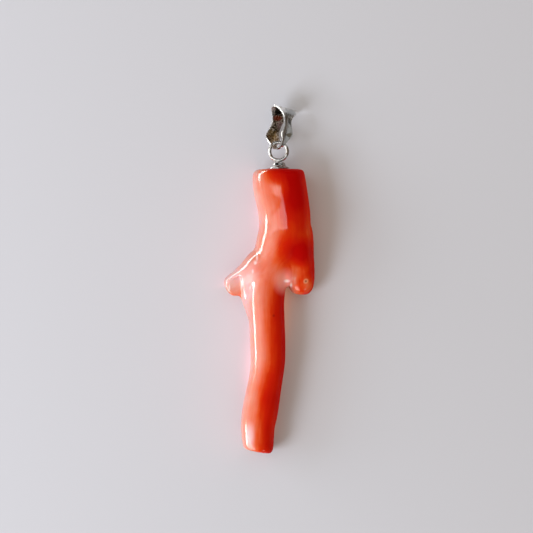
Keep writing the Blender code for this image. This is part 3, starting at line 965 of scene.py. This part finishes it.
def room():
    """A dim even room: mirrors see it lighter near the horizon and dark overhead."""
    world = bpy.data.worlds.new("room")
    world.use_nodes = True
    tree = world.node_tree
    background = tree.nodes["Background"]
    direction = tree.nodes.new("ShaderNodeTexCoord").outputs["Generated"]
    height = tree.nodes.new("ShaderNodeSeparateXYZ")
    tree.links.new(direction, height.inputs["Vector"])
    mirrored = tree.nodes.new("ShaderNodeMapRange")
    tree.links.new(height.outputs["Z"], mirrored.inputs["Value"])
    mirrored.inputs["From Min"].default_value = ROOM_BAND[0]
    mirrored.inputs["From Max"].default_value = ROOM_BAND[1]
    mirrored.inputs["To Min"].default_value = ROOM_HORIZON
    mirrored.inputs["To Max"].default_value = ROOM_OVERHEAD
    seen = tree.nodes.new("ShaderNodeMix")
    tree.links.new(tree.nodes.new("ShaderNodeLightPath").outputs["Is Glossy Ray"], seen.inputs["Factor"])
    seen.inputs["A"].default_value = ROOM_FILL
    tree.links.new(mirrored.outputs["Result"], seen.inputs["B"])
    tree.links.new(seen.outputs["Result"], background.inputs["Strength"])
    background.inputs["Color"].default_value = ROOM_COLOUR
    bpy.context.scene.world = world


def overhead_panel(name, across, along, height, brightness, fade, only):
    """A level panel that is only mirrored, and which may fade to nothing across its width."""
    middle = (sum(across) / 2, sum(along) / 2)
    size = (across[1] - across[0], along[1] - along[0])
    power = brightness * math.pi * size[0] * size[1]
    lamp = area_light(name, (*middle, height), (*middle, 0.0), size, power, diffuse=False, only=only)
    lamp.rotation_euler = (0.0, 0.0, 0.0)
    if fade:
        lamp.data.use_nodes = True
        tree = lamp.data.node_tree
        position = tree.nodes.new("ShaderNodeNewGeometry").outputs["Parametric"]
        split = tree.nodes.new("ShaderNodeSeparateXYZ")
        tree.links.new(position, split.inputs["Vector"])
        ramp = tree.nodes.new("ShaderNodeMapRange")
        tree.links.new(split.outputs["X"], ramp.inputs["Value"])
        ramp.inputs["From Min"].default_value = fade[0]
        ramp.inputs["From Max"].default_value = fade[1]
        ramp.inputs["To Min"].default_value = 1.0
        ramp.inputs["To Max"].default_value = 0.0
        tree.links.new(ramp.outputs["Result"], tree.nodes["Emission"].inputs["Strength"])


def sill(name, brightness, only):
    """A long bright strip low on the left, which draws the thin light line along each shoot."""
    size = (SILL_SPAN[1] - SILL_SPAN[0], SILL_HEIGHT)
    power = brightness * math.pi * size[0] * size[1]
    middle = sum(SILL_SPAN) / 2
    place = (-SILL_DISTANCE, middle, SILL_LEVEL)
    area_light(name, place, (0.0, middle, 0.0), size, power, diffuse=False, only=only)


def glow(name, start, end, side, colour, surface_only):
    """The light that one flank of the branch throws on the surface beside it, between two stations."""
    (x0, y0, _, r0), (x1, y1, _, r1) = start, end
    first = packed((x0 + side * GLOW_INSET * r0, y0, GLOW_HEIGHT / 2))
    last = packed((x1 + side * GLOW_INSET * r1, y1, GLOW_HEIGHT / 2))
    run = last - first
    size = (run.length, GLOW_HEIGHT * MM)
    power = math.pi * size[0] * size[1]
    middle = (first + last) / 2
    lamp = area_light(name, middle, (0, 0, 0), size, power, colour, gloss=False, only=surface_only)
    lamp.data.use_shadow = False
    across = Vector((run.y, -run.x, 0.0)).normalized() * side * (-1 if run.y < 0 else 1)
    along = across.cross(Vector((0.0, 0.0, 1.0)))
    lamp.rotation_euler = Matrix((along, (0.0, 0.0, 1.0), -across)).transposed().to_euler()


def windows(surface_only):
    """The daylight from the lower left, and more of it from low down, on the surface only."""
    area_light("window", WINDOW_PLACE, (0, 0, 0), WINDOW_SIZE, WINDOW_POWER, WINDOW_COLOUR, gloss=False)
    area_light(
        "low_window", LOW_WINDOW_PLACE, (0, 0, 0), LOW_WINDOW_SIZE, LOW_WINDOW_POWER, WINDOW_COLOUR,
        gloss=False, only=surface_only,
    )


def mirrored_lights(coral_only, silver_only):
    """What the polished coral and the silver mirror."""
    for name, panel in CORAL_PANELS.items():
        overhead_panel(name, *panel, coral_only)
    sill("coral_sill", CORAL_SILL_BRIGHTNESS, coral_only)
    for name, panel in SILVER_PANELS.items():
        overhead_panel(name, *panel, silver_only)
    sill("silver_sill", SILVER_SILL_BRIGHTNESS, silver_only)


def glows(surface_only):
    """The light that the stem and the twig throw on the surface."""
    for first, last in GLOWING_SPANS:
        start, end = MAIN_STEM[first], MAIN_STEM[last]
        glow("left_glow", start, end, -1, LEFT_GLOW, surface_only)
        glow("right_glow", start, end, 1, RIGHT_GLOW, surface_only)
    start, end = (LEFT_TWIG[station] for station in GLOWING_TWIG_SPAN)
    for side in (-1, 1):
        glow("twig_glow", start, end, side, TWIG_GLOW, surface_only)


def light(coral_only, silver_only, surface_only):
    room()
    windows(surface_only)
    mirrored_lights(coral_only, silver_only)
    glows(surface_only)
    bpy.context.scene.view_settings.view_transform = "Standard"


def camera():
    """The camera, which looks straight down."""
    data = bpy.data.cameras.new("camera")
    data.sensor_width = SENSOR_WIDTH
    data.lens = SENSOR_WIDTH * CAMERA_DISTANCE / VIEW_WIDTH
    data.clip_start = CAMERA_NEAR
    eye = placed("camera", data)
    eye.location = Vector((CAMERA_X, CAMERA_Y, CAMERA_AIM_Z + CAMERA_DISTANCE)) * MM
    bpy.context.scene.camera = eye


def dress(piece, material, body, slot, *nodes):
    """Gives a piece its material and its body, and hides the solids that it stands for. The slot is not used.
    """
    if material:
        piece.data.materials.clear()
        piece.data.materials.append(material)
    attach(piece, body)
    if nodes:
        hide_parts(*nodes)


def gathered(name, pieces):
    """A collection for the lights that fall on these pieces only."""
    made = bpy.data.collections.new(name)
    for piece in pieces:
        made.objects.link(piece)
    return made


def main():
    camera()
    surface = floor()
    branch = coral()
    dress(branch, coral_material(), "pendant", "coral", "trunk", "lower_stem", "right_stub", "left_twig")
    silver = silver_material("silver", SILVER_COLOURS, SILVER_ROUGHNESS, SILVER_WEAR_SCALE, SILVER_PAINTED_SHADE)
    tarnished = silver_material(
        "tarnished silver", TARNISH_COLOURS, TARNISH_ROUGHNESS, TARNISH_WEAR_SCALE, BAIL_PAINTED_SHADE_AND_PATCHES
    )
    turned, hoop, bead, strip = cap(), ring(), solder(), bail(silver, tarnished)
    dress(turned, silver, "pendant", "silver", "cap")
    dress(hoop, silver, "pendant", "silver", "ring")
    dress(bead, silver, "pendant", "silver")
    dress(strip, None, "bail", "silver", "bail")
    silver_pieces = gathered("silver_lit", [turned, hoop, bead, strip])
    light(gathered("coral_lit", [branch]), silver_pieces, gathered("surface_lit", [surface]))


main()
